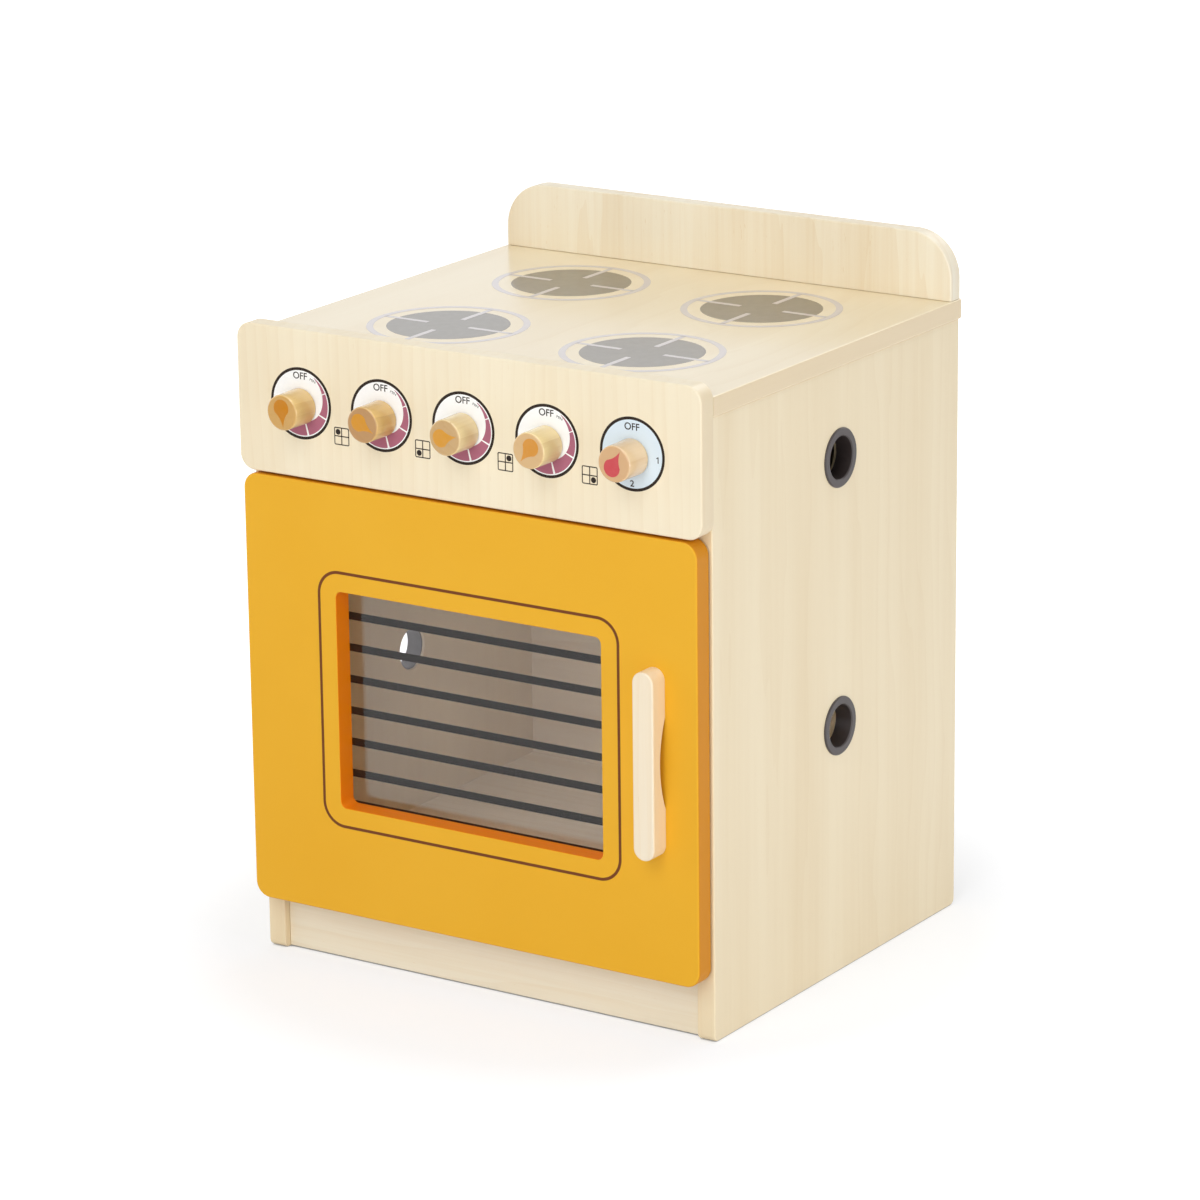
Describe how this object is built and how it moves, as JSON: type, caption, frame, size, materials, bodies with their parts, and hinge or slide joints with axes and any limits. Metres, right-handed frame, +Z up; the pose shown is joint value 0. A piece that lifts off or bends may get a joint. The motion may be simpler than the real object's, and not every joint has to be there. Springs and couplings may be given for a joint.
{
  "type": "toy oven",
  "caption": "Wooden play cooker with a hinged windowed door, turning knobs on a front panel, printed burners, a backsplash and round link holes in its sides.",
  "frame": {"origin": "on the floor under the middle of the overall footprint, knobs included", "axes": "-Y is the front, +X the right-hand side seen from the front, +Z up"},
  "size_m": [0.4, 0.392, 0.529],
  "materials": {
    "maple_board": "clear satin lacquer on pale close-grained wood",
    "back_board": "thin plywood, lightly lacquered",
    "door_paint": "orange-yellow satin paint on board",
    "handle_wood": "pale wood, satin lacquer",
    "knob_wood": "turned wood, amber gloss lacquer",
    "beech_dowel": "raw beech",
    "smoked_acrylic": "clear smoked sheet with printed grey stripes",
    "grommet_plastic": "moulded dark grey plastic",
    "white_nylon": "moulded nylon",
    "catch_plastic": "moulded plastic",
    "ferrite_magnet": "sintered ferrite",
    "zinc_steel": "bright zinc plate",
    "cast_zinc": "die-cast zinc alloy",
    "insert_brass": "plain brass"
  },
  "bodies": {
    "carcass": {"left_side_panel": "maple_board", "right_side_panel": "maple_board", "worktop": "maple_board", "backsplash": "maple_board", "control_panel": "maple_board", "plinth": "maple_board", "oven_floor": "maple_board", "oven_divider": "maple_board", "back_panel": "back_board", "lower_left_grommet": "grommet_plastic", "upper_left_grommet": "grommet_plastic", "lower_right_grommet": "grommet_plastic", "upper_right_grommet": "grommet_plastic", "knob_bushes": "white_nylon", "lower_hinge_frame_leaf": "zinc_steel", "upper_hinge_frame_leaf": "zinc_steel", "lower_hinge_pin": "zinc_steel", "upper_hinge_pin": "zinc_steel", "hinge_frame_screws": "zinc_steel", "catch_housing": "catch_plastic", "catch_magnet": "ferrite_magnet", "catch_pole_plates": "zinc_steel", "catch_screws": "zinc_steel", "wood_dowels": "beech_dowel", "cam_bolts": "zinc_steel", "cam_locks": "cast_zinc", "back_panel_screws": "zinc_steel"},
    "door": {"door_panel": "door_paint", "window_pane": "smoked_acrylic", "pane_screws": "zinc_steel", "door_handle": "handle_wood", "handle_screws": "zinc_steel", "handle_washers": "zinc_steel", "lower_hinge_door_leaf": "zinc_steel", "upper_hinge_door_leaf": "zinc_steel", "hinge_door_screws": "zinc_steel", "strike_plate": "zinc_steel", "strike_screw": "zinc_steel"},
    "knob 1": {"knob_1": "knob_wood", "knob_insert_1": "insert_brass", "knob_bolt_1": "zinc_steel", "knob_washer_1": "zinc_steel"},
    "knob 2": {"knob_2": "knob_wood", "knob_insert_2": "insert_brass", "knob_bolt_2": "zinc_steel", "knob_washer_2": "zinc_steel"},
    "knob 3": {"knob_3": "knob_wood", "knob_insert_3": "insert_brass", "knob_bolt_3": "zinc_steel", "knob_washer_3": "zinc_steel"},
    "knob 4": {"knob_4": "knob_wood", "knob_insert_4": "insert_brass", "knob_bolt_4": "zinc_steel", "knob_washer_4": "zinc_steel"},
    "knob 5": {"knob_5": "knob_wood", "knob_insert_5": "insert_brass", "knob_bolt_5": "zinc_steel", "knob_washer_5": "zinc_steel"}
  },
  "joints": [
    {"name": "door_hinge", "type": "hinge", "parent": "carcass", "child": "door", "pos_m": [-0.1972, -0.15675, 0.2105], "axis": [0, 0, -1], "range_deg": [0, 150]},
    {"name": "knob_1_turn", "type": "hinge", "parent": "carcass", "child": "knob 1", "pos_m": [-0.143, -0.172, 0.4312], "axis": [0, -1, 0], "continuous": true},
    {"name": "knob_2_turn", "type": "hinge", "parent": "carcass", "child": "knob 2", "pos_m": [-0.0715, -0.172, 0.4312], "axis": [0, -1, 0], "continuous": true},
    {"name": "knob_3_turn", "type": "hinge", "parent": "carcass", "child": "knob 3", "pos_m": [0, -0.172, 0.4312], "axis": [0, -1, 0], "continuous": true},
    {"name": "knob_4_turn", "type": "hinge", "parent": "carcass", "child": "knob 4", "pos_m": [0.0715, -0.172, 0.4312], "axis": [0, -1, 0], "continuous": true},
    {"name": "knob_5_turn", "type": "hinge", "parent": "carcass", "child": "knob 5", "pos_m": [0.143, -0.172, 0.4312], "axis": [0, -1, 0], "continuous": true}
  ]
}
